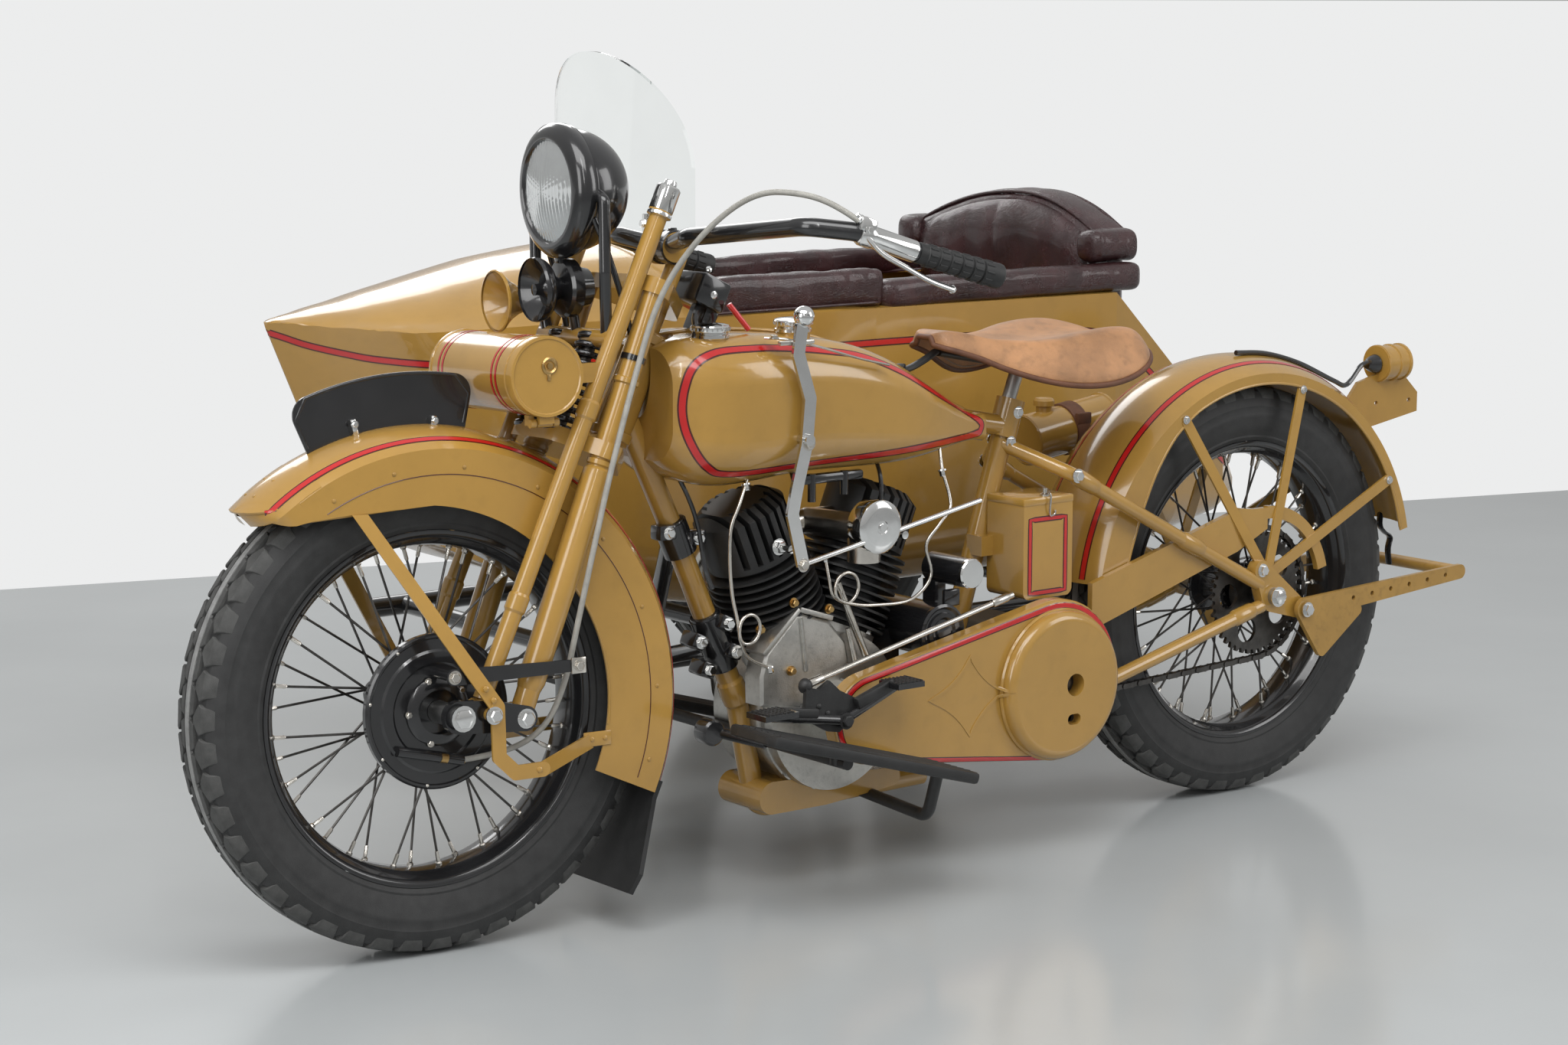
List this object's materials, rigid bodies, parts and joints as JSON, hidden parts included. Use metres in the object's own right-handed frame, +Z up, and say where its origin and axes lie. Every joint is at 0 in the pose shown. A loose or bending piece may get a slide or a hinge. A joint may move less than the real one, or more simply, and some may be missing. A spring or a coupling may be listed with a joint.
{
  "type": "sidecar motorcycle",
  "caption": "Vintage rigid-frame V-twin motorcycle with springer fork and a boat-nosed passenger sidecar on its right side.",
  "frame": {"origin": "on the ground at the middle of the vehicle's plan box", "axes": "+X forward, +Y to the rider's left, +Z up"},
  "size_m": [2.3949, 1.6375, 1.182],
  "materials": {
    "olive_paint": "gloss enamel",
    "black_enamel": "gloss enamel",
    "chrome": "polished plate",
    "steel": "satin",
    "aluminium": "cast, satin",
    "tyre_rubber": "matt",
    "black_rubber": "matt",
    "tan_leather": "smooth hide",
    "oxblood_leather": "worn gloss",
    "clear_sheet": "clear"
  },
  "bodies": {
    "chassis": {"fuel_tank": "olive_paint", "battery_box": "olive_paint", "rear_fender": "olive_paint", "sidecar_body": "olive_paint", "sidecar_fender": "olive_paint", "primary_cover": "olive_paint", "chain_guard": "olive_paint", "canister": "olive_paint", "front_frame": "olive_paint", "frame_spine": "olive_paint", "rear_frame": "olive_paint", "tail_lamp": "olive_paint", "generator": "black_enamel", "gearbox": "black_enamel", "footboards": "black_enamel", "clutch_pedal": "black_enamel", "sidecar_chassis": "black_enamel", "sidecar_springs": "black_enamel", "seat_post": "black_enamel", "front_cylinder": "black_enamel", "rear_cylinder": "black_enamel", "shift_lever": "chrome", "windshield_posts": "chrome", "intake": "chrome", "rear_axle": "steel", "drive_chain": "steel", "exhaust": "steel", "crankcase": "aluminium", "saddle": "tan_leather", "sidecar_seat": "oxblood_leather", "sidecar_seat_back": "oxblood_leather", "coaming_pads": "oxblood_leather", "windshield": "clear_sheet"},
    "fork": {"rigid_fork": "olive_paint", "spring_fork": "olive_paint", "fork_springs": "black_enamel", "rockers": "black_enamel", "front_axle": "steel", "front_fender": "olive_paint", "fender_plate": "black_enamel", "mud_flap": "black_rubber", "toolbox": "olive_paint", "horn": "black_enamel", "headlamp": "black_enamel", "lamp_brackets": "black_enamel", "handlebar": "black_enamel", "grips": "black_rubber", "brake_lever": "chrome", "brake_cable": "steel", "front_brake": "black_enamel"},
    "tool_lid": {"toolbox_lid": "olive_paint"},
    "front_roller": {"front_tyre": "tyre_rubber", "front_wheel": "black_enamel"},
    "rear_roller": {"rear_tyre": "tyre_rubber", "rear_wheel": "black_enamel", "rear_sprocket": "black_enamel"},
    "sidecar_roller": {"sidecar_tyre": "tyre_rubber", "sidecar_wheel": "black_enamel"},
    "stand": {"rear_stand": "olive_paint"}
  },
  "joints": [
    {"name": "steering", "type": "hinge", "parent": "chassis", "child": "fork", "pos_m": [0.55, 0.385, 0.7], "axis": [-0.4384, 0, 0.8988], "range_deg": [-28.5, 41.5]},
    {"name": "tool_lid_hinge", "type": "hinge", "parent": "fork", "child": "tool_lid", "pos_m": [0.73188, 0.47252, 0.71082], "axis": [-0.9948, 0.1017, 0.0025], "range_deg": [0, 95]},
    {"name": "front_wheel_spin", "type": "hinge", "parent": "fork", "child": "front_roller", "pos_m": [0.87027, 0.3707, 0.32964], "axis": [0.1017, 0.9936, 0.0496], "continuous": true},
    {"name": "rear_wheel_spin", "type": "hinge", "parent": "chassis", "child": "rear_roller", "pos_m": [-0.64, 0.385, 0.33], "axis": [0, 1, 0], "continuous": true},
    {"name": "sidecar_wheel_spin", "type": "hinge", "parent": "chassis", "child": "sidecar_roller", "pos_m": [-0.635, -0.733, 0.33], "axis": [0, 1, 0], "continuous": true},
    {"name": "stand_fold", "type": "hinge", "parent": "chassis", "child": "stand", "pos_m": [-0.699, 0.385, 0.304], "axis": [0, -1, 0], "range_deg": [0, 100]}
  ]
}
